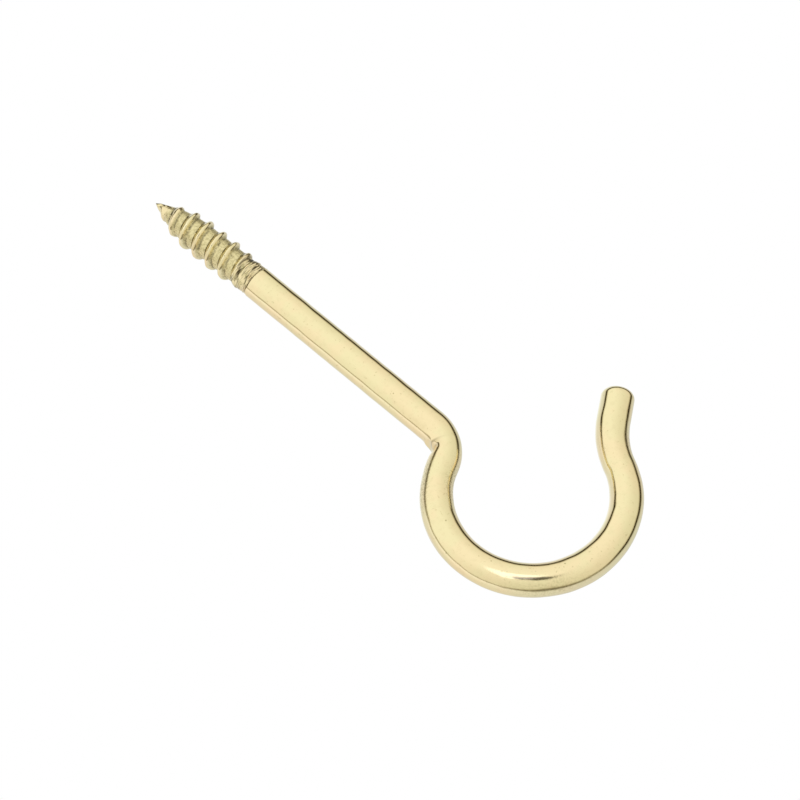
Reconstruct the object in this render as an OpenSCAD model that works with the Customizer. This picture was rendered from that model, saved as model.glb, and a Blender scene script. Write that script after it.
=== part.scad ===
// Ceiling hook: one length of wire with a rolled wood-screw thread and a gimlet
// point, kinked below the shank and bent round into an open bow with a flared end.
//
// Frame: the screw axis is Z and the point is up. The origin is on that axis, at
// the shoulder where the thread ends, which is the face of the ceiling. The bow
// hangs below in the XZ plane, and its mouth opens towards +X and +Z.

/* [Wire] */
// Diameter of the wire
wire_d = 4.45; // [4.2:0.05:5.6]

/* [Thread] */
// Length from the shoulder to the point, which goes into the ceiling
thread_l = 17.2; // [13:0.2:28]
// Diameter over the crests
thread_d = 5.35; // [5.2:0.05:6.6]
// Diameter of the core between the crests
core_d = 4; // [3:0.1:4]
// Advance in one turn
pitch = 2.34; // [1.8:0.02:3]
// Width of the rounded crest
crest_w = 0.42; // [0.2:0.02:0.5]
// Width of the flank that faces the point
front_flank_w = 0.52; // [0.2:0.02:0.6]
// Width of the flank that faces the shank
back_flank_w = 0.42; // [0.2:0.02:0.6]
// Length over which the crests grow from the point to full height
crest_taper_l = 7.4; // [4:0.1:10]
// Length over which the core grows from the point to full diameter
core_taper_l = 8.6; // [4:0.1:11]
// Length over which the last crest runs out before the shoulder
runout_l = 4; // [1:0.1:5]
// Length of the cone from the core up to the shank
shoulder_l = 1; // [0.6:0.1:2]

/* [Shank] */
// Length of the plain straight wire, from the shoulder to the first bend
shank_l = 32.2; // [10:0.2:60]

/* [Bends, each by its radius at the wire's centre and its angle] */
// Radius of the sharp bend away from the screw axis
neck_r = 5.6; // [4:0.1:8]
// Angle of the sharp bend
neck_angle = 67.4; // [60:0.2:80]
// Radius of the bow
bow_r = 12.15; // [8:0.05:20]
// Angle of the bow
bow_angle = 221.9; // [190:0.1:235]
// Radius of the outward flare before the free end
flare_r = 12.25; // [6:0.05:18]
// Angle of the outward flare
flare_angle = 31.4; // [20:0.2:50]

/* [Free end] */
// Length from the flare to the tip of the free end, dome included
free_end_l = 5; // [3:0.1:12]
// Height of the dome on the free end
dome_h = 1.6; // [0.6:0.1:2.2]

/* [Crease] */
// Radius of the tool mark across the inside of the neck
crease_r = 1.2; // [0.8:0.1:2]
// Depth of the tool mark
crease_depth = 0.45; // [0.2:0.05:0.7]

/* [Hidden] */

$fn = 96;
plating = "#EADCA8";

wire_r = wire_d / 2;
thread_r = thread_d / 2;
core_r = core_d / 2;

// Steps round one turn of the thread
steps = 32;
// Height of the point above the first row of the thread
point_gap = 0.15;
// Turn of the first row about the axis, in degrees
start_angle = -80;
// Turns over which the first crest rises out of the point
lead_in = 0.4;
// Powers that round the taper of the crests and of the core
crest_power = 1.8;
core_power = 2.3;
// Step in radius where the thread and the free end enter the wire, and how far they go in
seat_step = 0.03;
sunk = 0.2;
collar_r = wire_r - seat_step;

// The bends in order from the shank, each with its radius, its angle, and its turn: 1
// turns the wire towards the mouth and -1 turns it away
BENDS = [
    [neck_r, neck_angle, -1],
    [bow_r, bow_angle, 1],
    [flare_r, flare_angle, -1],
];

// One pitch of the thread's profile, from the point towards the shank:
// place from the crest's middle in millimetres, and share of the crest's height
PROFILE = [
    [-pitch / 2, 0],
    [-crest_w / 2 - front_flank_w, 0],
    [-crest_w / 2, 0.88],
    [0, 1],
    [crest_w / 2, 0.88],
    [crest_w / 2 + back_flank_w / 2, 0.4],
    [crest_w / 2 + back_flank_w, 0],
];
rows = len(PROFILE);
turns = (thread_l - point_gap + sunk) / pitch + 1;
last = ceil(turns * steps);

// 0 below 0, 1 above 1, and an S-curve between
function ease(x) = let (t = min(1, max(0, x))) t * t * (3 - 2 * t);

// Share of the full radius at a distance from the point, on a taper of length l
function ogive(from_point, l, power) =
    from_point >= l ? 1 : 1 - pow(1 - max(0, from_point) / l, power);

// Radius of the core, at a height above the shoulder
function core_at(z) =
    core_r * ogive(thread_l - z, core_taper_l, core_power)
    + (collar_r - core_r) * (1 - ease((z - shoulder_l / 3) / shoulder_l));

// Height of the crest over the core, at a height above the shoulder
function crest_at(z) =
    let (
        full = thread_r * ogive(thread_l - z, crest_taper_l, crest_power)
            - core_r * ogive(thread_l - z, core_taper_l, core_power),
        left = 1 - min(1, max(0, (z - shoulder_l / 4) / runout_l))
    )
    full * (1 - left * left);

// One point of the thread: step along the helix, and row of the profile
function thread_point(step, row) =
    let (
        turn = step / steps,
        a = start_angle - 360 * turn,
        z = thread_l - point_gap - pitch * (turn + 0.5) - PROFILE[row][0],
        r = core_at(z) + PROFILE[row][1] * crest_at(z) * ease(turn / lead_in)
    )
    [r * cos(a), r * sin(a), z];

function thread_index(step, row) =
    row < rows ? step * rows + row : (step + steps) * rows + row - rows;

// Thread and point as one surface. Its rows follow the helix, so the last row of one
// turn meets the first row of the next, and a fan of triangles closes each end.
module thread() {
    points = [
        for (step = [0 : last], row = [0 : rows - 1]) thread_point(step, row),
        [0, 0, thread_l],
        [0, 0, -pitch],
    ];
    top = len(points) - 2;
    base = len(points) - 1;
    skin = [
        for (step = [0 : last - 1], row = [0 : rows - 1])
            if (row < rows - 1 || step + 1 + steps <= last)
                let (
                    a = thread_index(step, row),
                    b = thread_index(step + 1, row),
                    c = thread_index(step + 1, row + 1),
                    d = thread_index(step, row + 1)
                )
                each [[a, c, b], [a, d, c]],
    ];
    top_edge = [
        for (step = [0 : steps]) thread_index(step, 0),
        for (row = [rows - 1 : -1 : 1]) thread_index(0, row),
    ];
    base_edge = [
        for (step = [last - steps : last]) thread_index(step, rows - 1),
        for (row = [rows - 2 : -1 : 0]) thread_index(last, row),
    ];
    top_fan = [
        for (i = [0 : len(top_edge) - 1]) [top_edge[i], top_edge[(i + 1) % len(top_edge)], top]
    ];
    base_fan = [
        for (i = [0 : len(base_edge) - 1])
            [base_edge[i], base, base_edge[(i + 1) % len(base_edge)]]
    ];
    polyhedron(points, concat(skin, top_fan, base_fan));
}

// Heading of the wire before a bend, in degrees from straight down towards +X
function heading(i) = i == 0 ? 0 : heading(i - 1) + BENDS[i - 1][2] * BENDS[i - 1][1];

// Place in the XZ plane of the wire's centre before a bend, and of the bend's own centre
function wire_at(i) =
    i == 0 ? [0, -shank_l] : bend_centre(i - 1) - spoke(i - 1, heading(i));
function bend_centre(i) = wire_at(i) + spoke(i, heading(i));

// From the wire's centre to the bend's centre, at a heading
function spoke(i, h) = BENDS[i][2] * BENDS[i][0] * [cos(h), sin(h)];

// Moves its children in the XZ plane by a coarse and a fine step, which keeps enough
// digits for the bends to meet face to face
module at(place) {
    coarse = [for (v = place) round(v * 100) / 100];
    fine = place - coarse;
    translate([coarse[0], 0, coarse[1]])
        translate([fine[0], 0, fine[1]])
            children();
}

// One bend, swept about its own centre
module bend(i) {
    r = BENDS[i][0];
    angle = BENDS[i][1];
    at(bend_centre(i))
        rotate([90, 0, 0])
            rotate_extrude(angle = angle, start = heading(i) + (BENDS[i][2] > 0 ? 180 : -angle))
                translate([r, 0])
                    circle(r = wire_r);
}

// Plain straight wire between the thread and the first bend
module shank() {
    translate([0, 0, -shank_l])
        cylinder(h = shank_l, r = wire_r);
}

// Tool mark across the inside of the neck, halfway round it
module crease() {
    mid = neck_angle / 2;
    across = neck_r - wire_r - crease_r + crease_depth;
    at(bend_centre(0) + across * [cos(mid), -sin(mid)])
        rotate([90, 0, 0])
            cylinder(h = 2 * wire_d, r = crease_r, center = true);
}

// Straight end of the wire, with a dome on its tip
module free_end() {
    straight_l = free_end_l - dome_h;
    at(wire_at(len(BENDS)))
        rotate([0, -heading(len(BENDS)), 0])
            rotate_extrude()
                polygon([
                    [0, sunk],
                    [collar_r, sunk],
                    for (a = [0 : 9 : 90]) [collar_r * cos(a), -straight_l - dome_h * sin(a)],
                ]);
}

module ceiling_hook() {
    color(plating) {
        thread();
        shank();
        difference() {
            bend(0);
            crease();
        }
        for (i = [1 : len(BENDS) - 1])
            bend(i);
        free_end();
    }
}

ceiling_hook();
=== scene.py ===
"""Looks of a brass-plated ceiling hook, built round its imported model.

The hook is one surface: rings carried along the wire's centreline, from the gimlet
point, through the thread, the shank, the kinked neck and the bow, to the domed free end.
"""

import math

import bpy
import numpy as np
from mathutils import Matrix


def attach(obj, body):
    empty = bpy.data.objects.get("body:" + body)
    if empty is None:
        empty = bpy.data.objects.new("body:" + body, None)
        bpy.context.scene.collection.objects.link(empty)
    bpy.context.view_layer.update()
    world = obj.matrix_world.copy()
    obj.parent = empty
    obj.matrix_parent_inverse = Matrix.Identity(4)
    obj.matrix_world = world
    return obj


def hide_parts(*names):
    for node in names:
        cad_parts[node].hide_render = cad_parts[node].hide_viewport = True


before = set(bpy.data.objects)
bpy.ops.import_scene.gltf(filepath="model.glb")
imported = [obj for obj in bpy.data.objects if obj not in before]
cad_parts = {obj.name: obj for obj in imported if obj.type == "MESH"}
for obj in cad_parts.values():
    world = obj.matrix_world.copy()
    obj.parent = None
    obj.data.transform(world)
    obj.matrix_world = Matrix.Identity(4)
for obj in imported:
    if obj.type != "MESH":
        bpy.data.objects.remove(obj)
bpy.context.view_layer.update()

bl_info = {
    "name": "Ceiling Hook",
    "version": (1, 0, 0),
    "blender": (4, 5, 0),
    "location": "View3D > Sidebar > Hook",
    "description": "Builds a brass-plated ceiling hook and the studio round it",
    "category": "Add Mesh",
}

MM = 0.001
NODE = "ceiling_hook"

# The camera: the place in the hook's plane that it looks at, its distance from there, how far
# its picture is turned in that plane, how far it looks up from the plane's normal, and its
# focal length and the width of its sensor in millimetres
LOOK_AT = np.array([-0.02 * MM, 0.0, -26.68 * MM])
CAMERA_DISTANCE = 677.2 * MM
CAMERA_TURN = math.radians(46.73)
CAMERA_TILT = math.radians(29.62)
LENS = 236.2
SENSOR = 36.0

# The front of the hook's plane, and the picture's right and up in that plane
FRONT = np.array([0.0, -1.0, 0.0])
PICTURE_RIGHT = np.array([math.cos(CAMERA_TURN), 0.0, -math.sin(CAMERA_TURN)])
PICTURE_UP = np.cross(FRONT, PICTURE_RIGHT)

# The thread, as the solid has it: the gap between the point and the thread's first row, the
# turns over which the first crest rises, the powers that round the tapers of the crest and
# of the core, and the step in radius where the thread enters the wire
POINT_GAP = 0.15 * MM
LEAD_IN = 0.4
CREST_POWER = 1.8
CORE_POWER = 2.3
SEAT_STEP = 0.03 * MM

# How the thread differs from the solid's: the share of its height that the crest keeps, the
# power that makes it narrower, and how far the point leans towards -X
CREST_KEPT = 0.93
CREST_SHARPNESS = 1.25
LEAN = 0.36 * MM

# How much shorter the straight part of the free end is than the solid's, how much lower its
# dome is, and the powers of the dome's outline along and across the wire
END_CUT = 0.13 * MM
DOME_CUT = 0.14 * MM
DOME_ALONG = 2.2
DOME_ACROSS = 2.1

# The plain wire: its share of the solid's radius, and the least gap that it keeps to the
# solid's sides in the hook's plane
DRAWN = 0.997
CLEAR = 0.005 * MM

# Where bending leaves the wire oval: the bend that it is measured from, how far past the
# bend's start the middle is and how far it reaches, in millimetres, and the share by which
# the wire is thinner in the hook's plane there, or thicker where it is below 0
OVALS = (
    ("bow", 1.8, 3.6, 0.055),
    ("flare", 0.4, 3.2, 0.045),
    ("bow", 12.0, 4.0, -0.012),
    ("bow", 25.0, 4.0, 0.010),
    ("bow", 31.0, 3.0, -0.016),
)

# The crease in the neck: how far it is past the neck's middle, how much deeper the mark is
# than the solid's, and the soft dent round it, by its depth and its reach before and after
CREASE_SHIFT = 0.45 * MM
CREASE_EXTRA = 0.15 * MM
DENT_DEPTH = 0.72 * MM
DENT_BEFORE = 0.42 * MM
DENT_AFTER = 1.30 * MM

# Small nicks in the plating of the front: how far each is along the wire from the point, in
# millimetres, how far round the wire from the inside of the bow, in degrees with the front at
# 270, and its radius in millimetres
NICKS = (
    (43.4, 250, 0.13),
    (65.3, 275, 0.16),
    (68.6, 210, 0.15),
    (73.8, 280, 0.13),
    (83.8, 285, 0.15),
)

# How far the marks of the thread's dies reach down the shank, and their thin rings: each
# with its place over the shoulder, its own height and its width, all in millimetres
RUN_OUT = 1.0 * MM
DIE_RINGS = (
    (-0.93, 0.12, 0.075),
    (-0.62, 0.08, 0.08),
    (-0.28, 0.10, 0.075),
    (0.12, 0.07, 0.08),
    (0.50, 0.09, 0.09),
    (0.95, 0.05, 0.09),
)

# The middle of the hook, round which the studio stands
MIDDLE = np.array([0.0, 0.0, -0.03])

# The opening in the light tent, in degrees: its place off the front and round it, its radius
# and its soft edge, with the share of the light that it takes
OPENING_OFF = 21.0
OPENING_AZIMUTH = 280.0
OPENING_RADIUS = 9.5
OPENING_EDGE = 2.4
OPENING_DARK = 0.96

# The key light: its distance, its place off the front and round it in degrees, the way that
# its height runs, its tone, and its two ovals, each with its width, height and power
KEY_DISTANCE = 0.6
KEY_OFF = 14.5
KEY_AZIMUTH = 246.0
KEY_UP = (-0.32, 0.0, 0.95)
KEY_TONE = (1.0, 1.0, 1.3)
KEY_LAMPS = (
    ("key_lamp", (0.42, 0.19), 0.08),
    ("key_lamp_middle", (0.26, 0.11), 0.065),
)

# The lamp over the hook, which isn't mirrored
TOP_AT = np.array([-0.1, -0.2, 0.9])
TOP_UP = (0.0, 1.0, 0.0)
TOP_SIZE = (0.3, 0.3)
TOP_POWER = 6.0

# Strength of the floor's own light for the eye and for gloss
FLOOR_GLOW = 0.5


def length(name, description, default):
    """A size in metres, shown in the scene's units."""
    return bpy.props.FloatProperty(
        name=name,
        description=description,
        default=default,
        min=0.0,
        unit="LENGTH",
        precision=5,
    )


def angle(name, description, degrees):
    """An angle, kept in radians and shown in degrees."""
    return bpy.props.FloatProperty(
        name=name, description=description, default=math.radians(degrees), subtype="ANGLE"
    )


def share(name, description, default):
    """A number from 0 to 1."""
    return bpy.props.FloatProperty(
        name=name,
        description=description,
        default=default,
        min=0.0,
        max=1.0,
        subtype="FACTOR",
    )


def colour(name, description, default):
    """A colour in linear red, green and blue."""
    return bpy.props.FloatVectorProperty(
        name=name,
        description=description,
        default=default,
        size=3,
        min=0.0,
        max=1.0,
        subtype="COLOR",
    )


class HookSizes(bpy.types.PropertyGroup):
    """The hook's sizes, which are those of its solid."""

    wire_d: length("Wire", "Diameter of the wire", 4.45 * MM)
    thread_l: length("Thread length", "From the shoulder to the point", 17.2 * MM)
    thread_d: length("Thread", "Diameter over the crests", 5.35 * MM)
    core_d: length("Core", "Diameter between the crests", 4.0 * MM)
    pitch: length("Pitch", "Advance in one turn", 2.34 * MM)
    crest_w: length("Crest", "Width of the rounded crest", 0.42 * MM)
    front_flank_w: length("Front flank", "Flank facing the point", 0.52 * MM)
    back_flank_w: length("Back flank", "Flank facing the shank", 0.42 * MM)
    crest_taper_l: length("Crest taper", "Length over which the crests grow", 7.4 * MM)
    core_taper_l: length("Core taper", "Length over which the core grows", 8.6 * MM)
    runout_l: length("Run-out", "Length over which the crest runs out", 4.0 * MM)
    shoulder_l: length("Shoulder", "Length of the cone up to the shank", 1.0 * MM)
    start_angle: angle("Thread start", "Turn of the thread about its axis", -80)
    shank_l: length("Shank", "Straight wire, shoulder to neck", 32.2 * MM)
    neck_r: length("Neck radius", "Radius of the sharp bend", 5.6 * MM)
    neck_angle: angle("Neck angle", "Angle of the sharp bend", 67.4)
    bow_r: length("Bow radius", "Radius of the bow at the wire's centre", 12.15 * MM)
    bow_angle: angle("Bow angle", "Angle of the bow", 221.9)
    flare_r: length("Flare radius", "Radius of the outward flare", 12.25 * MM)
    flare_angle: angle("Flare angle", "Angle of the outward flare", 31.4)
    free_end_l: length("Free end", "From the flare to the tip", 5.0 * MM)
    dome_h: length("Dome", "Height of the dome on the free end", 1.6 * MM)
    crease_r: length("Crease radius", "Radius of the tool mark", 1.2 * MM)
    crease_depth: length("Crease depth", "Depth of the tool mark", 0.45 * MM)


class BrassFinish(bpy.types.PropertyGroup):
    """The colours and the gloss of the plating."""

    polished: colour("Polished", "Plating on the plain wire", (0.945, 0.845, 0.53))
    # The valley colour below is partly the duller rolled skin and partly painted shade on the
    # thread's flanks and roots.
    tarnish_and_shade: colour("Tarnished", "Plating in the thread's valleys", (0.865, 0.77, 0.455))
    # The stained colour below also makes the bending dots, which are partly painted dark
    # reflection at the bow's start and the flare's start.
    stained: colour("Stained", "Specks in the valleys, nicks and strain", (0.43, 0.37, 0.18))
    # The colour below is painted shade: near black, it darkens the corners under the thread's
    # flanks, between the die rings, in the slot and along the crease.
    painted_shade: colour("Grime", "Dirt in the corners of the thread", (0.08, 0.06, 0.03))
    blush: colour("Blush", "Warmer patches of the plating", (0.978, 0.826, 0.53))
    pinprick: colour("Pinprick", "Specks on the plain wire", (0.50, 0.42, 0.22))
    dust: colour("Dust", "Fine dust on the plain wire", (0.70, 0.60, 0.36))
    gloss: share("Roughness", "Roughness of the plain wire", 0.10)
    rolled: share("Rolled roughness", "Roughness of the thread's valleys", 0.36)


class StudioSetup(bpy.types.PropertyGroup):
    """The floor and the light round the hook."""

    floor_z: bpy.props.FloatProperty(
        name="Floor height", description="Height of the floor", default=-0.30, unit="LENGTH"
    )
    floor_r: length("Floor radius", "Radius of the floor", 3.0)
    tent_r: length("Tent radius", "Radius of the light tent", 0.9)
    floor_colour: colour("Floor", "Colour of the floor", (0.8, 0.8, 0.79))


# ---------------------------------------------------------------- shapes


def ease(x):
    """0 below 0, 1 above 1, and an S-curve between."""
    t = np.clip(x, 0.0, 1.0)
    return t * t * (3.0 - 2.0 * t)


def bump(x, middle, width):
    """A round bump of height 1 at middle, which falls to about a third one width away."""
    return np.exp(-(((x - middle) / width) ** 2))


def ripple(seed, count, along, round_wire, s, a):
    """Smooth noise of about unit size on the wire: the sum of count sine waves, each with a
    number of waves a metre along s, a whole number of waves round the angle a and a phase,
    all drawn from the seed. The first two spread by along and round_wire."""
    draw = np.random.default_rng(seed)
    total = np.zeros(np.broadcast(s, a).shape)
    for _ in range(count):
        per_metre = draw.normal(0.0, along)
        waves = int(round(draw.normal(0.0, round_wire)))
        phase = draw.uniform(0.0, 2.0 * math.pi)
        total += np.sin(2.0 * math.pi * per_metre * s + waves * a + phase)
    return total * math.sqrt(2.0 / count)


def centreline(size, s):
    """Place (x, z) and heading of the wire's centre at a distance s from the point. The
    heading turns by length over radius in each bend, and a bend's points lie on its circle:
    its centre less the spoke, which is turn times radius times (cos h, sin h)."""
    straight = size.thread_l + size.shank_l
    bends = (
        (size.neck_r, size.neck_angle, -1.0),
        (size.bow_r, size.bow_angle, 1.0),
        (size.flare_r, size.flare_angle, -1.0),
    )
    x = np.zeros_like(s)
    z = size.thread_l - np.minimum(s, straight)
    heading = np.zeros_like(s)
    start, h0 = straight, 0.0
    for radius, sweep, turn in bends:
        t = np.clip(s - start, 0.0, radius * sweep)
        h1 = h0 + turn * t / radius
        x += turn * radius * (math.cos(h0) - np.cos(h1))
        z += turn * radius * (math.sin(h0) - np.sin(h1))
        heading += turn * t / radius
        start += radius * sweep
        h0 += turn * sweep
    t = np.maximum(s - start, 0.0)
    x += t * math.sin(h0)
    z -= t * math.cos(h0)
    return x, z, heading


def on_wire(size, s, a):
    """Place on the plain wire at a distance s from the point and an angle a: the centre plus
    the radius times (cos a along the inward normal + sin a along Y)."""
    x, z, heading = centreline(size, np.array([s]))
    across = size.wire_d / 2 * math.cos(a)
    return (
        x[0] + across * math.cos(heading[0]),
        size.wire_d / 2 * math.sin(a),
        z[0] + across * math.sin(heading[0]),
    )


def marks(size):
    """Distances from the point at which the shoulder, the bends, the free end, its dome and
    its tip begin, by name: the running sum of the lengths before them."""
    lengths = {
        "shoulder": size.thread_l,
        "neck": size.shank_l,
        "bow": size.neck_r * size.neck_angle,
        "flare": size.bow_r * size.bow_angle,
        "free_end": size.flare_r * size.flare_angle,
        "dome": size.free_end_l - size.dome_h - END_CUT,
        "tip": size.dome_h - DOME_CUT,
    }
    return dict(zip(lengths, np.cumsum(list(lengths.values()))))


def ogive(from_point, taper_l, power):
    """Share of the full radius at a distance from the point: 1 less the share of the taper
    that is left, raised to a power."""
    left = 1.0 - np.clip(from_point / taper_l, 0.0, 1.0)
    return 1.0 - left**power


def crest_profile(size, d):
    """Share of the crest's height at a distance d from its middle towards the shank: a round
    top between two flanks, with the corners eased by a short moving average, and made a
    little narrower by a power."""
    grid = np.linspace(-size.pitch / 2, size.pitch / 2, 361)
    half = size.crest_w / 2
    at = (
        -half - size.front_flank_w,
        -half,
        0.0,
        half,
        half + size.back_flank_w / 2,
        half + size.back_flank_w,
    )
    height = np.interp(grid, at, (0.0, 0.88, 1.0, 0.88, 0.4, 0.0))
    window = np.hanning(23)
    height = np.convolve(height, window / window.sum(), mode="same") ** CREST_SHARPNESS
    return np.interp(d, grid, height)


def thread_radius(size, z, a):
    """Radius of the thread at a height z over the shoulder and an angle a: the tapered core
    plus the helical crest, whose middle drops by one pitch in each turn. Returns the radius,
    the share of the crest's height, and how near the surface is to the corner under a flank,
    where the material paints shade: in full on the side of the point, and less on the side of
    the shank."""
    core_r, thread_r = size.core_d / 2, size.thread_d / 2
    left = size.thread_l - z
    shoulder = 1.0 - ease((z - size.shoulder_l / 3) / size.shoulder_l)
    core = core_r * ogive(left, size.core_taper_l, CORE_POWER)
    core += (size.wire_d / 2 - SEAT_STEP - core_r) * shoulder
    full = thread_r * ogive(left, size.crest_taper_l, CREST_POWER)
    full -= core_r * ogive(left, size.core_taper_l, CORE_POWER)
    fade = 1.0 - np.clip((z - size.shoulder_l / 4) / size.runout_l, 0.0, 1.0)
    full = CREST_KEPT * np.maximum(full, 0.0) * (1.0 - fade * fade)
    turns = (size.start_angle - a) / (2.0 * math.pi)
    d = size.thread_l - POINT_GAP - size.pitch * (turns + 0.5) - z
    d = (d + size.pitch / 2) % size.pitch - size.pitch / 2
    turn = (left - POINT_GAP - d) / size.pitch - 0.5
    grown = ease(turn / LEAD_IN)
    crest = crest_profile(size, d) * grown

    front_foot = bump(d, -(size.crest_w / 2 + 0.66 * size.front_flank_w), 0.16 * MM)
    back_foot = 0.70 * bump(d, size.crest_w / 2 + size.back_flank_w, 0.12 * MM)
    foot = np.maximum(front_foot, back_foot)
    foot *= grown * ease((left - 1.6 * MM) / (1.2 * MM)) * (1.0 - fade * fade)
    return core + crest * full, crest, foot


def crease_place(size):
    """Distance from the point of the deepest part of the dent in the neck."""
    return size.thread_l + size.shank_l + size.neck_r * size.neck_angle / 2 + CREASE_SHIFT


def from_neck_inside(a):
    """Angle round the wire from the inside of the neck, positive towards the front."""
    return np.arctan2(-np.sin(a), -np.cos(a))


def creased(size, s, a, r):
    """The radius r less the crease in the neck: a soft dent, and in it the mark of a bar
    pressed across the inside. At an angle beta along the bend, the bar's round side lies from
    the bend's centre at reach times cos beta + the root of (the bar's radius squared - (reach
    sin beta) squared), and the wire comes no nearer to that centre."""
    at = marks(size)
    dent_at = crease_place(size)
    spread = np.where(s < dent_at, DENT_BEFORE, DENT_AFTER)
    dent = bump(s, dent_at, spread) * bump(from_neck_inside(a), 0.22, 0.9)
    r = r - DENT_DEPTH * dent
    beta = (s - dent_at) / size.neck_r
    reach = size.neck_r - size.wire_d / 2 - size.crease_r + size.crease_depth + CREASE_EXTRA
    under = size.crease_r**2 - (reach * np.sin(beta)) ** 2
    floor = reach * np.cos(beta) + np.sqrt(np.maximum(under, 0.0))
    inward = -np.cos(a)
    cut = (size.neck_r - floor) / np.maximum(inward, 0.05)
    in_neck = (s > at["neck"] - 1.0 * MM) & (s < at["bow"] + 1.0 * MM)
    in_mark = (under > 0.0) & (inward > 0.05) & in_neck
    return np.where(in_mark, np.minimum(r, np.maximum(cut, 0.0)), r)


def crease_painted_shade(size, s, a):
    """Painted shade at the crease: a thin dark line along the dent's upper edge, and a faint
    darkening in it.
    """
    dent_at = crease_place(size)
    crease_shade_amount = bump(s, dent_at - 0.52 * MM, 0.13 * MM) * 0.55
    crease_shade_amount += bump(s, dent_at + 0.25 * MM, 0.50 * MM) * 0.13
    return crease_shade_amount * bump(from_neck_inside(a), 0.35, 0.85)


def wire_radius(size, s, a):
    """Radius of the plain wire at a distance s from the point and an angle a: the drawn wire,
    thinner by the share oval times cos squared a, and thicker by a quarter of oval times sin
    squared a, less the crease in the neck. The dome at the free end is (1 - end^2.2)^(1/2.1)
    times that, which is a little squarer than an ellipse."""
    at = marks(size)
    oval = np.zeros_like(s)
    for start, place, reach, thinner in OVALS:
        oval += thinner * bump(s, at[start] + place * MM, reach * MM)
    r = size.wire_d / 2 * (1.0 - oval * np.cos(a) ** 2 + 0.25 * oval * np.sin(a) ** 2)

    # Faint waves left by drawing: long ones, and shorter ones that are limited in height
    r = r * (DRAWN + 0.0018 * ripple(11, 24, 110.0, 1.2, s, a))
    r = r + 0.0055 * MM * np.clip(ripple(12, 30, 260.0, 4.0, s, a), -2.2, 2.2)

    # In the hook's plane the wire stays inside the solid
    r = np.minimum(r, (size.wire_d / 2 - CLEAR) / np.maximum(np.abs(np.cos(a)), 0.2))
    r = creased(size, s, a, r)
    end = np.clip((s - at["dome"]) / (at["tip"] - at["dome"]), 0.0, 1.0)
    return r * np.maximum(1.0 - end**DOME_ALONG, 0.0) ** (1.0 / DOME_ACROSS)


def rolled_surface(size, s, a):
    """Radius of the thread with the grain of its rolled surface, small nicks in its crest and
    lumps on its point. Returns the same three things as thread_radius."""
    thread, crest, foot = thread_radius(size, size.thread_l - s, a)
    grain = ripple(7, 60, 1500.0, 14.0, s, a)
    nicks = ripple(8, 30, 500.0, 6.0, s, a)
    point = ease(s / (1.5 * MM))
    thread = thread + MM * (0.007 * grain * point + 0.016 * crest * nicks * point)
    thread = thread + 0.05 * MM * bump(s, 0.45 * MM, 0.45 * MM)
    lumps = ripple(9, 16, 900.0, 2.0, s, a) * bump(s, 1.2 * MM, 1.0 * MM)
    thread = thread + 0.028 * MM * lumps * ease(s / (0.4 * MM))
    return thread, crest, foot


def die_rings(z, s, a):
    """Height of the thin rings where the dies let go, the lowest of which is the shoulder's
    edge: bumps at the places of DIE_RINGS, moved by a slow drift that makes them crooked,
    times noise that breaks them."""
    drift = 0.11 * MM * ripple(5, 10, 220.0, 1.8, s, a) * ease((z + 0.95 * MM) / (0.5 * MM))
    rings = np.zeros_like(s)
    for place, height, width in DIE_RINGS:
        rings += height * MM * bump(z + drift, place * MM, width * MM)
    return rings * np.clip(0.8 + 0.5 * ripple(6, 24, 300.0, 4.5, s, a), 0.0, 1.3)


def die_slot(z, a):
    """Share of the depth of a slanting slot across the rings, on the front."""
    slant = 0.35 * MM * np.sin(a + 0.5)
    across = bump(z + 0.55 * MM - slant, 0.0, 0.09 * MM)
    return across * bump(np.cos(a - math.radians(235)), 1.0, 0.45)


def hook_radius(size, s, a):
    """Radius at a distance s from the point and an angle a: the thread above the shoulder and
    the wire below it, with the marks that rolling leaves. Returns the radius, the share of
    the crest's height, how far the surface is rolled thread, and how deep in a corner it is,
    which the material darkens as painted shade."""
    z = size.thread_l - s
    thread, crest, foot = rolled_surface(size, s, a)
    wire = wire_radius(size, s, a)

    # The run-out of the dies: a shallow step down from the wire, with the rings and the slot
    entered = ease((z + RUN_OUT) / (0.07 * MM))
    sunk = entered * (1.0 - ease((z - 0.1 * MM) / (0.9 * MM)))
    sunk *= 1.0 - 0.4 * ease((z + 0.2 * MM) / (0.5 * MM))
    near = entered * (1.0 - ease((z - 1.4 * MM) / (0.8 * MM)))
    rings = die_rings(z, s, a)
    slot = die_slot(z, a)
    rough = thread + near * (rings - 0.10 * MM * slot)
    rough -= 0.11 * MM * sunk
    collar = np.minimum(rough, size.wire_d / 2 + 0.01 * MM)
    thread = np.where(z < 1.0 * MM, collar, rough)
    thread = np.minimum(thread, size.thread_d / 2 - 0.003 * MM)
    zone = ease((z + RUN_OUT) / (0.06 * MM) + 0.5)
    r = thread * zone + wire * (1.0 - zone)

    # Painted shade: in spots under the flanks and between the rings, and even in the slot and
    # crease
    pit = near * (1.0 - np.clip(rings / (0.05 * MM), 0.0, 1.0))
    pit *= np.clip(0.35 + 0.55 * ripple(13, 40, 2000.0, 5.0, s, a), 0.0, 1.0)
    spotty = np.clip(0.85 + 0.7 * ripple(14, 30, 900.0, 11.0, s, a), 0.15, 1.0)
    corner = np.maximum(foot * spotty, np.maximum(pit, slot * near)) * zone
    corner = np.maximum(corner, crease_painted_shade(size, s, a))

    # The rings shine in patches as the crest does, and the point's skin is nearly plain wire's
    patches = np.clip(0.62 + 0.2 * ripple(15, 30, 900.0, 7.0, s, a), 0.0, 1.0)
    crest = np.maximum(crest, near * patches)
    skin = zone * (0.12 + 0.88 * ease((s - 2.0 * MM) / (1.2 * MM)))
    return r, crest * zone, skin, corner


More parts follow.
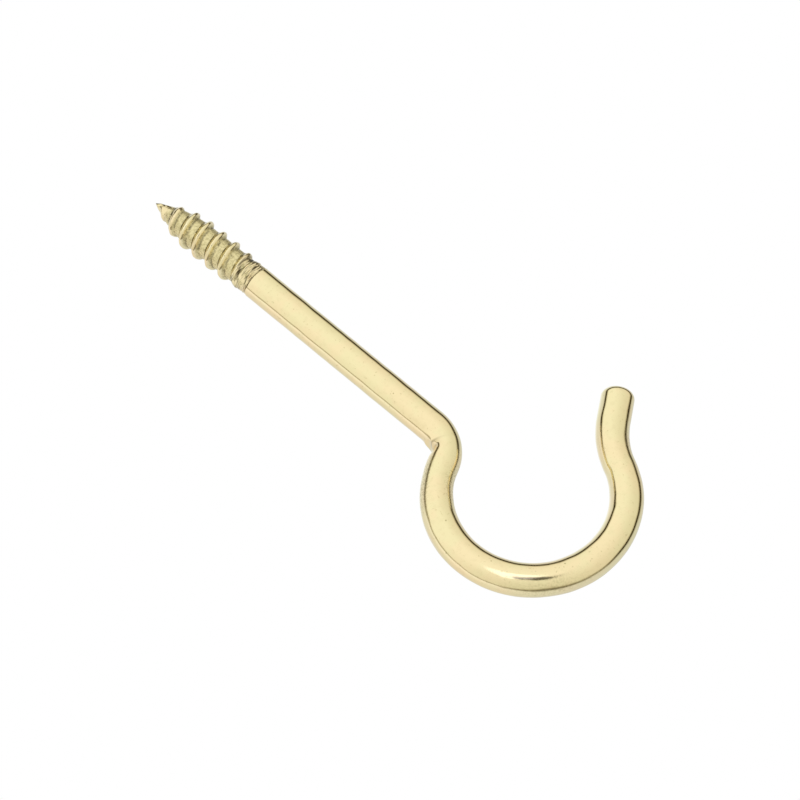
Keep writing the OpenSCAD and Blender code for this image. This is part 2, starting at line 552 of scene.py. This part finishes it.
def strain_and_dark_reflection(size, s, a):
    """How far bending and cutting have roughened the plating at a distance s from the point:
    inside and outside the bow's start, outside the bow about 25 mm further on and a little on
    the front there, outside the flare's start, and over the cut end. The material also paints
    dark dots by it, which at the bow's start and the flare's start are partly painted dark
    reflection of the wire's own far side. The bow's inside is at cos a = 1, its outside at
    cos a = -1, and the front at sin a = -1."""
    at = marks(size)
    inside, outside = bump(np.cos(a), 1.0, 0.55), bump(np.cos(a), -1.0, 0.55)
    front = bump(np.sin(a), -1.0, 0.4)
    bow_start = bump(s, at["bow"] + 3.0 * MM, 5.0 * MM)
    amount = bow_start * (0.25 + 0.75 * np.maximum(inside, outside))
    amount += 0.62 * bump(s, at["bow"] + 25.0 * MM, 9.0 * MM) * (0.12 + 0.88 * outside)
    amount += 0.22 * bump(s, at["bow"] + 26.0 * MM, 5.0 * MM) * front
    amount += 0.5 * ease((s - at["dome"] - 0.6 * MM) / (0.4 * MM))
    amount += 0.7 * bump(s, at["flare"] + 2.0 * MM, 5.0 * MM) * (0.2 + 0.8 * outside)
    return np.clip(amount, 0.0, 1.0)


def row_places(size):
    """Distances from the point of the rings: even steps in each span, short ones on the
    thread, the run-out and the neck, and on the dome the sine of even steps of angle."""
    at = marks(size)
    spans = (
        (0.02 * MM, at["shoulder"] - 1.2 * MM, 0.055 * MM),
        (at["shoulder"] - 1.2 * MM, at["shoulder"] + 1.15 * MM, 0.03 * MM),
        (at["shoulder"] + 1.15 * MM, at["neck"] - 1.0 * MM, 0.45 * MM),
        (at["neck"] - 1.0 * MM, at["bow"] + 1.0 * MM, 0.11 * MM),
        (at["bow"] + 1.0 * MM, at["free_end"], 0.30 * MM),
        (at["free_end"], at["dome"], 0.30 * MM),
    )
    rows = []
    for start, stop, step in spans:
        count = max(2, int(round((stop - start) / step)))
        rows.append(np.linspace(start, stop, count, endpoint=False))
    quarter = np.linspace(0.0, math.pi / 2, 34)[:-1]
    rows.append(at["dome"] + (at["tip"] - at["dome"]) * np.sin(quarter))
    return np.concatenate(rows)


def ring_faces(rows, columns):
    """Faces of rings of vertices, closed at each end by a fan round one vertex. The vertices
    are numbered ring by ring, and the two single ones come last."""
    index = np.arange(rows * columns).reshape(rows, columns)
    after = np.roll(index, -1, axis=1)
    quads = np.stack((index[:-1], index[1:], after[1:], after[:-1]), axis=-1).reshape(-1, 4)
    first, last = rows * columns, rows * columns + 1
    top = np.stack((np.full(columns, first), index[0], after[0]), axis=-1)
    base = np.stack((index[-1], np.full(columns, last), after[-1]), axis=-1)
    return quads.tolist() + top.tolist() + base.tolist()


def hook_surface(size, columns=128):
    """Rings round the centreline: centre + r(s, a) (cos a along the inward normal + sin a
    along Y), with one vertex at the point and one at the tip. Returns the points, the faces,
    and the fields that the material reads."""
    s = row_places(size)
    tip = marks(size)["tip"]
    a = np.arange(columns) * (2.0 * math.pi / columns)
    s2, a2 = np.meshgrid(s, a, indexing="ij")
    r, crest, zone, corner = hook_radius(size, s2, a2)
    x, z, heading = centreline(size, s)
    x = x - LEAN * np.clip(1.0 - s / size.thread_l, 0.0, 1.0) ** 2
    across, sideways = r * np.cos(a2), r * np.sin(a2)
    points = np.stack(
        (
            x[:, None] + across * np.cos(heading)[:, None],
            sideways,
            z[:, None] + across * np.sin(heading)[:, None],
        ),
        axis=-1,
    ).reshape(-1, 3)
    ends_x, ends_z, _ = centreline(size, np.array([0.0, tip]))
    poles = np.stack((ends_x, np.zeros(2), ends_z), axis=-1)
    poles[0, 0] -= LEAN
    points = np.concatenate((points, poles))

    straight = np.stack((s2, across, sideways), axis=-1).reshape(-1, 3)
    straight = np.concatenate((straight, [[0.0, 0.0, 0.0], [tip, 0.0, 0.0]]))
    fields = {
        "crest": np.append(crest.ravel(), (0.0, 0.0)),
        "rolled": np.append(zone.ravel(), (1.0, 0.0)),
        "corner": np.append(corner.ravel(), (0.0, 0.0)),
        "strain_and_dark_reflection": np.append(strain_and_dark_reflection(size, s2, a2).ravel(), (0.0, 0.0)),
        "straightened": straight,
    }
    return points, ring_faces(len(s), columns), fields


def signed_volume(points, faces):
    """Six times the volume inside a closed surface, positive when its faces point outwards."""
    total = 0.0
    for corner in (1, 2):
        tri = np.array([(f[0], f[corner], f[corner + 1]) for f in faces if len(f) > corner + 1])
        p, q, r = points[tri[:, 0]], points[tri[:, 1]], points[tri[:, 2]]
        total += np.einsum("ij,ij->i", p, np.cross(q, r)).sum()
    return total


def make_object(name, points, faces, fields=None, smooth=True):
    """A mesh object at the origin, with its place in its mesh and its fields as attributes."""
    mesh = bpy.data.meshes.new(name)
    mesh.from_pydata(np.asarray(points).tolist(), [], faces)
    for key, values in (fields or {}).items():
        values = np.asarray(values, dtype=np.float32)
        kind, item = ("FLOAT", "value") if values.ndim == 1 else ("FLOAT_VECTOR", "vector")
        mesh.attributes.new(key, kind, "POINT").data.foreach_set(item, values.ravel())
    if smooth:
        mesh.shade_smooth()
    mesh.update()
    made = bpy.data.objects.new(name, mesh)
    bpy.context.scene.collection.objects.link(made)
    return made


# ---------------------------------------------------------------- materials


class Nodes:
    """Short calls that add and join the nodes of one material or world."""

    def __init__(self, owner):
        owner.use_nodes = True
        self.tree = owner.node_tree
        self.tree.nodes.clear()

    def add(self, kind, **settings):
        """A new shader node of a kind, with its settings."""
        node = self.tree.nodes.new("ShaderNode" + kind)
        for key, value in settings.items():
            setattr(node, key, value)
        return node

    def put(self, node, name, value):
        """Sets a socket to a value, or links it to another node's output."""
        socket = node.inputs[name]
        if isinstance(value, bpy.types.NodeSocket):
            self.tree.links.new(value, socket)
        else:
            socket.default_value = value

    def math(self, operation, *values, clamp=False):
        """The result of an operation on numbers or sockets."""
        node = self.add("Math", operation=operation, use_clamp=clamp)
        for i, value in enumerate(values):
            self.put(node, i, value)
        return node.outputs[0]

    def noise(self, vector, scale, detail, roughness):
        """Noise with a number of features a metre, which is its scale."""
        node = self.add("TexNoise")
        self.put(node, "Vector", vector)
        self.put(node, "Scale", scale)
        self.put(node, "Detail", detail)
        self.put(node, "Roughness", roughness)
        return node.outputs["Fac"]

    def ramp(self, value, low, high, start=0.0, end=1.0):
        """Maps low to start and high to end, with an S-curve between."""
        node = self.add("MapRange", interpolation_type="SMOOTHSTEP")
        self.put(node, "Value", value)
        self.put(node, "From Min", low)
        self.put(node, "From Max", high)
        self.put(node, "To Min", start)
        self.put(node, "To Max", end)
        return node.outputs["Result"]

    def mix(self, amount, first, second):
        """A colour between two, by an amount of the second."""
        node = self.add("Mix", data_type="RGBA")
        self.put(node, 0, amount)
        self.put(node, 6, first)
        self.put(node, 7, second)
        return node.outputs[2]

    def scaled(self, vector, x, y, z):
        """A vector stretched along its own axes."""
        node = self.add("Mapping")
        self.put(node, "Vector", vector)
        self.put(node, "Scale", (x, y, z))
        return node.outputs["Vector"]

    def attribute(self, name, output="Fac"):
        """One of the mesh's own fields."""
        return self.add("Attribute", attribute_name=name).outputs[output]


def brass_plating(finish, size):
    """Polished pale brass plating: clouded tone, fine drawn grain, specks, dust and a few
    nicks, speckles and orange peel where bending roughened it, the speckles partly painted
    dark reflection, and a duller, mottled skin on the thread, partly painted shade, with
    painted shade in its corners and the crease."""
    made = bpy.data.materials.new("brass_plating_skin")
    n = Nodes(made)
    place = n.add("TexCoord").outputs["Object"]
    wire = n.attribute("straightened", "Vector")
    crest = n.attribute("crest")
    rolled = n.attribute("rolled")
    corner = n.attribute("corner")
    strain_and_reflection = n.attribute("strain_and_dark_reflection")

    # Patterns
    clouds = n.ramp(n.noise(place, 260.0, 3.0, 0.6), 0.38, 0.62)
    grain = n.noise(place, 4200.0, 4.0, 0.6)
    specks = n.ramp(n.noise(place, 2600.0, 2.0, 0.4), 0.66, 0.76)
    dusty = n.ramp(n.noise(place, 1500.0, 3.0, 0.7), 0.50, 0.68)
    mottled = n.ramp(n.noise(place, 3000.0, 3.0, 0.6), 0.36, 0.82)
    dots = n.ramp(n.noise(place, 4200.0, 2.0, 0.5), 0.47, 0.62)
    peel = n.noise(place, 3300.0, 1.0, 0.4)
    drawn = n.noise(n.scaled(wire, 60.0, 2600.0, 2600.0), 1.0, 3.0, 0.6)

    # Colour of the plain wire, of the thread's valleys, partly painted shade, and over both the
    # painted shade of the corners and the bending dots, partly painted reflection
    plain = n.mix(clouds, (*finish.polished, 1.0), (*finish.blush, 1.0))
    plain = n.mix(n.math("MULTIPLY", specks, 0.35), plain, (*finish.pinprick, 1.0))
    plain = n.mix(n.math("MULTIPLY", dusty, 0.16), plain, (*finish.dust, 1.0))
    # The thread's flanks and roots, away from the crest, take a darker mottled tone: partly a
    # duller rolled skin, partly painted shade.
    ridge = n.ramp(crest, 0.34, 0.72)
    valley = n.math("MULTIPLY", rolled, n.math("SUBTRACT", 1.0, ridge))
    skin_tone = n.mix(mottled, (*finish.tarnish_and_shade, 1.0), (*finish.stained, 1.0))
    tone = n.mix(n.math("MULTIPLY", valley, 0.95), plain, skin_tone)
    # Painted shade: the corner field darkens the thread's corners and the crease towards near
    # black.
    tone = n.mix(corner, tone, (*finish.painted_shade, 1.0))
    # Dark dots where bending roughened the plating; at the bow's start and the flare's start
    # they are partly painted dark reflection.
    bending_dots_and_painted_reflection = n.math("MULTIPLY", n.ramp(strain_and_reflection, 0.35, 0.95), dots)
    tone = n.mix(n.math("MULTIPLY", bending_dots_and_painted_reflection, 0.62), tone, (*finish.stained, 1.0))
    for along, round_wire, radius in NICKS:
        away = n.add("VectorMath", operation="DISTANCE")
        n.put(away, 0, place)
        n.put(away, 1, on_wire(size, along * MM, math.radians(round_wire)))
        nick = n.ramp(away.outputs["Value"], 0.4 * radius * MM, radius * MM, 1.0, 0.0)
        tone = n.mix(n.math("MULTIPLY", nick, 0.7), tone, (*finish.stained, 1.0))

    # Roughness: more in the grain, in the valleys and corners, where bending roughened the
    # plating, and on the rolled skin
    duller = n.math("MAXIMUM", valley, corner)
    rough = n.math("MULTIPLY_ADD", n.math("SUBTRACT", grain, 0.5), 0.10, finish.gloss)
    rough = n.math("MULTIPLY_ADD", duller, finish.rolled - finish.gloss, rough)
    rough = n.math("MULTIPLY_ADD", strain_and_reflection, 0.15, rough)
    rough = n.math("MULTIPLY_ADD", rolled, 0.05, rough, clamp=True)

    # Fine relief: drawing lines, orange peel that grows with bending, grain, and the pits of
    # the specks and of the mottled valleys
    relief = n.math("MULTIPLY", n.math("SUBTRACT", drawn, 0.5), 0.35)
    amount = n.math("MULTIPLY_ADD", strain_and_reflection, 5.0, 0.25)
    relief = n.math("ADD", relief, n.math("MULTIPLY", n.math("SUBTRACT", peel, 0.5), amount))
    relief = n.math("ADD", relief, n.math("MULTIPLY", n.math("SUBTRACT", grain, 0.5), 0.5))
    relief = n.math("SUBTRACT", relief, n.math("MULTIPLY", specks, 0.8))
    pitted = n.math("MULTIPLY", n.math("MULTIPLY", mottled, valley), -2.5)
    relief = n.math("ADD", relief, pitted)
    dents = n.add("Bump")
    n.put(dents, "Strength", 0.5)
    n.put(dents, "Distance", 0.004 * MM)
    n.put(dents, "Height", relief)

    skin = n.add("BsdfPrincipled")
    n.put(skin, "Metallic", 1.0)
    n.put(skin, "Base Color", tone)
    n.put(skin, "Roughness", rough)
    n.put(skin, "Normal", dents.outputs["Normal"])
    n.put(n.add("OutputMaterial"), "Surface", skin.outputs[0])
    return made


def tent_material():
    """The scrim of the light tent: it lets the white surround through by its own level."""
    made = bpy.data.materials.new("tent_scrim")
    n = Nodes(made)
    scrim = n.add("BsdfTransparent")
    n.put(scrim, "Color", n.attribute("level", "Vector"))
    n.put(n.add("OutputMaterial"), "Surface", scrim.outputs[0])
    return made


def seen(n):
    """1 for rays that show the surround: from the camera, in gloss and through glass."""
    path = n.add("LightPath")
    total = n.math("ADD", path.outputs["Is Camera Ray"], path.outputs["Is Glossy Ray"])
    return n.math("ADD", total, path.outputs["Is Transmission Ray"], clamp=True)


def floor_material(studio):
    """A pale matt floor that shows white where it is lit, keeps a shadow, and is clear from
    below, so that the hook can be seen from under it."""
    made = bpy.data.materials.new("pale_floor")
    n = Nodes(made)
    matt = n.add("BsdfDiffuse")
    n.put(matt, "Color", (*studio.floor_colour, 1.0))
    glow = n.add("Emission")
    n.put(glow, "Strength", n.math("MULTIPLY", seen(n), FLOOR_GLOW))
    both = n.add("AddShader")
    n.put(both, 0, matt.outputs[0])
    n.put(both, 1, glow.outputs[0])
    clear = n.add("BsdfTransparent")
    sides = n.add("MixShader")
    n.put(sides, 0, n.add("NewGeometry").outputs["Backfacing"])
    n.put(sides, 1, both.outputs[0])
    n.put(sides, 2, clear.outputs[0])
    n.put(n.add("OutputMaterial"), "Surface", sides.outputs[0])
    return made


# ---------------------------------------------------------------- studio


def unit(v):
    """A vector scaled to length 1."""
    return v / np.linalg.norm(v)


def around(azimuth, middle, width):
    """A round bump on a circle: 1 at the azimuth middle, and about a third at one width from
    it. Middle and width are in degrees."""
    gap = (azimuth - math.radians(middle) + math.pi) % (2.0 * math.pi) - math.pi
    return np.exp(-((gap / math.radians(width)) ** 2))


def spot(off, azimuth):
    """Direction at an angle off the front and an azimuth round it, both in degrees."""
    off, azimuth = math.radians(off), math.radians(azimuth)
    sideways = math.cos(azimuth) * PICTURE_RIGHT + math.sin(azimuth) * PICTURE_UP
    return math.cos(off) * FRONT + math.sin(off) * sideways


def tent_level(d):
    """Level of the tent in the directions d, as red, green and blue. A direction has the
    parts u, v and w along the picture's right, its up and the front, an angle off the front,
    and an azimuth round it from the picture's right. A bright dome in front and a grey sheet
    behind, each a few terms in u and v, meet at an edge. A dark gap runs along the edge, and
    fades on both sides as exp(-(distance/width)^2.6)."""
    u, v, w = d @ PICTURE_RIGHT, d @ PICTURE_UP, d @ FRONT
    azimuth = np.arctan2(v, u)
    off = np.degrees(np.arccos(np.clip(w, -1.0, 1.0)))

    # The dome, and the sheet, which is brighter well behind on the side of the picture's up
    dome = 0.98 - 0.11 * u + 0.07 * v - 0.09 * u * u - 0.07 * u * v - 0.16 * v * v
    sheet = 0.73 - 0.03 * u - 0.05 * v
    sheet = sheet + 0.30 * around(azimuth, 112, 34) * bump(off, 138.0, 26.0)

    # The edge between them, the gap's half width and depth, and the bright rim on the left
    turn = np.cos(azimuth - math.radians(70))
    edge = 95.7 + 4.8 * np.cos(azimuth) - 5.2 * np.sin(azimuth) + 2.5 * np.sin(2 * azimuth)
    width = 7.5 + 4.5 * turn + 6.0 * around(azimuth, 280, 26)
    beyond = np.maximum(off - edge - width, 0.0)
    sheet = sheet + 0.38 * around(azimuth, 205, 55) * np.exp(-beyond / 13.0)
    behind = ease((off - edge) / 8.0 + 0.5)
    depth = 0.62 + 0.38 * ease((turn + 0.35) / 0.5) + 0.25 * around(azimuth, 285, 35)
    gap = np.clip(depth, 0.0, 1.0) * np.exp(-np.abs((off - edge) / width) ** 2.6)
    level = (dome * (1.0 - behind) + sheet * behind) * (1.0 - gap)

    # The opening that the camera looks through
    opening = spot(OPENING_OFF, OPENING_AZIMUTH)
    away = np.degrees(np.arccos(np.clip(d @ opening, -1.0, 1.0)))
    outside = ease((away - OPENING_RADIUS) / OPENING_EDGE)
    level = level * (1.0 - OPENING_DARK * (1.0 - outside))
    level = np.clip(level, 0.01, 1.0)

    # Tone: warm in front, cool behind, rosier behind on the left, and yellower where darker
    warm, cool = np.array([0.985, 0.985, 0.91]), np.array([0.95, 1.0, 1.08])
    rosy = around(azimuth, 215, 55)[:, None] * np.array([0.08, 0.0, -0.10])
    tint = warm + behind[:, None] * (cool + rosy - warm)
    return np.clip(level[:, None] ** np.array([0.92, 1.0, 1.25]) * tint, 0.0, 1.0)


def tent_surface(radius, rows=120, columns=240):
    """A sphere about the hook, as rings of latitude round Y, with one vertex at each pole.
    Returns the points, the faces and the points' directions from the middle."""
    lat = np.linspace(0.0, math.pi, rows + 2)[1:-1]
    lon = np.arange(columns) * (2.0 * math.pi / columns)
    lat2, lon2 = np.meshgrid(lat, lon, indexing="ij")
    x = np.sin(lat2) * np.cos(lon2)
    z = np.sin(lat2) * np.sin(lon2)
    d = np.stack((x, -np.cos(lat2), z), axis=-1).reshape(-1, 3)
    d = np.concatenate((d, [[0.0, -1.0, 0.0], [0.0, 1.0, 0.0]]))
    return MIDDLE + radius * d, ring_faces(rows, columns), d


def disc(radius, z, columns=96):
    """A flat round floor that faces up, as one fan of triangles."""
    a = np.arange(columns) * (2.0 * math.pi / columns)
    rim = np.stack((radius * np.cos(a), radius * np.sin(a), np.full(columns, z)), axis=-1)
    points = np.concatenate((rim, [[0.0, 0.0, z]]))
    faces = [(i, (i + 1) % columns, columns) for i in range(columns)]
    return points, faces


def aim(made, at, back, up):
    """Places a lamp or camera at a point, looking away from back, with up upwards."""
    back = unit(back)
    right = unit(np.cross(up, back))
    true_up = np.cross(back, right)
    columns = np.stack((right, true_up, back, at), axis=-1)
    made.matrix_world = Matrix(np.vstack((columns, (0.0, 0.0, 0.0, 1.0))).tolist())


def soft_lamp(name, at, up, size, power, in_gloss=True, tone=(1.0, 1.0, 1.0)):
    """An oval area lamp that faces the hook, with its height along up and its width across."""
    lamp = bpy.data.lights.new(name, "AREA")
    lamp.shape = "ELLIPSE"
    lamp.size, lamp.size_y = size
    lamp.energy = power
    lamp.color = tone
    made = bpy.data.objects.new(name, lamp)
    bpy.context.scene.collection.objects.link(made)
    aim(made, at, at - MIDDLE, np.array(up))
    made.visible_camera = False
    made.visible_glossy = in_gloss


def make_camera():
    """The camera. Its back is the plane's front tilted away from the picture's up, and its up
    is the picture's up tilted to the front."""
    back = math.cos(CAMERA_TILT) * FRONT - math.sin(CAMERA_TILT) * PICTURE_UP
    up = math.cos(CAMERA_TILT) * PICTURE_UP + math.sin(CAMERA_TILT) * FRONT
    data = bpy.data.cameras.new("camera")
    data.lens = LENS
    data.sensor_width = SENSOR
    data.clip_start, data.clip_end = 0.01, 10.0
    made = bpy.data.objects.new("camera", data)
    bpy.context.scene.collection.objects.link(made)
    aim(made, LOOK_AT + CAMERA_DISTANCE * back, back, up)
    bpy.context.scene.camera = made


def make_world():
    """A white surround of strength 1."""
    world = bpy.data.worlds.new("white_surround")
    bpy.context.scene.world = world
    n = Nodes(world)
    white = n.add("Background")
    n.put(white, "Color", (1.0, 1.0, 1.0, 1.0))
    n.put(white, "Strength", 1.0)
    n.put(n.add("OutputWorld"), "Surface", white.outputs[0])


# ---------------------------------------------------------------- operators


class HOOK_OT_wire(bpy.types.Operator):
    """Build the hook: thread, shank, neck, bow and free end, in brass plating"""

    bl_idname = "hook.build_wire"
    bl_label = "Build Hook"

    def execute(self, context):
        size = context.scene.hook_sizes
        points, faces, fields = hook_surface(size)
        if signed_volume(points, faces) < 0.0:
            raise RuntimeError("the hook's faces point inwards")
        hook = make_object("plated_hook", points, faces, fields)
        hook.data.materials.append(brass_plating(context.scene.brass_finish, size))
        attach(hook, "root")
        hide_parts(NODE)
        return {"FINISHED"}


class HOOK_OT_studio(bpy.types.Operator):
    """Build the floor, the light tent, the lamps and the camera"""

    bl_idname = "hook.build_studio"
    bl_label = "Build Studio"

    def execute(self, context):
        scene = context.scene
        studio = scene.studio_setup
        points, faces = disc(studio.floor_r, studio.floor_z)
        floor = make_object("floor", points, faces, smooth=False)
        floor.data.materials.append(floor_material(studio))
        floor.visible_glossy = False

        points, faces, d = tent_surface(studio.tent_r)
        tent = make_object("light_tent", points, faces, {"level": tent_level(d)})
        tent.data.materials.append(tent_material())
        tent.visible_camera = False

        key_at = MIDDLE + KEY_DISTANCE * spot(KEY_OFF, KEY_AZIMUTH)
        for name, size, power in KEY_LAMPS:
            soft_lamp(name, key_at, KEY_UP, size, power, tone=KEY_TONE)
        soft_lamp("top_lamp", TOP_AT, TOP_UP, TOP_SIZE, TOP_POWER, in_gloss=False)
        make_world()
        make_camera()
        scene.view_settings.view_transform = "Standard"
        return {"FINISHED"}


class HOOK_PT_panel(bpy.types.Panel):
    """Lists the hook's sizes, its finish and the studio"""

    bl_idname = "HOOK_PT_panel"
    bl_label = "Ceiling Hook"
    bl_space_type = "VIEW_3D"
    bl_region_type = "UI"
    bl_category = "Hook"

    def draw(self, context):
        scene = context.scene
        groups = (
            ("Sizes", scene.hook_sizes, "hook.build_wire"),
            ("Finish", scene.brass_finish, None),
            ("Studio", scene.studio_setup, "hook.build_studio"),
        )
        for title, group, operator in groups:
            box = self.layout.box()
            box.label(text=title)
            for key in group.bl_rna.properties.keys():
                if key not in {"rna_type", "name"}:
                    box.prop(group, key)
            if operator:
                box.operator(operator)


CLASSES = (
    HookSizes,
    BrassFinish,
    StudioSetup,
    HOOK_OT_wire,
    HOOK_OT_studio,
    HOOK_PT_panel,
)


def register():
    for cls in CLASSES:
        bpy.utils.register_class(cls)
    bpy.types.Scene.hook_sizes = bpy.props.PointerProperty(type=HookSizes)
    bpy.types.Scene.brass_finish = bpy.props.PointerProperty(type=BrassFinish)
    bpy.types.Scene.studio_setup = bpy.props.PointerProperty(type=StudioSetup)


def unregister():
    del bpy.types.Scene.studio_setup
    del bpy.types.Scene.brass_finish
    del bpy.types.Scene.hook_sizes
    for cls in reversed(CLASSES):
        bpy.utils.unregister_class(cls)


def main():
    register()
    bpy.ops.hook.build_wire()
    bpy.ops.hook.build_studio()
    bpy.context.view_layer.update()


if __name__ == "__main__":
    main()
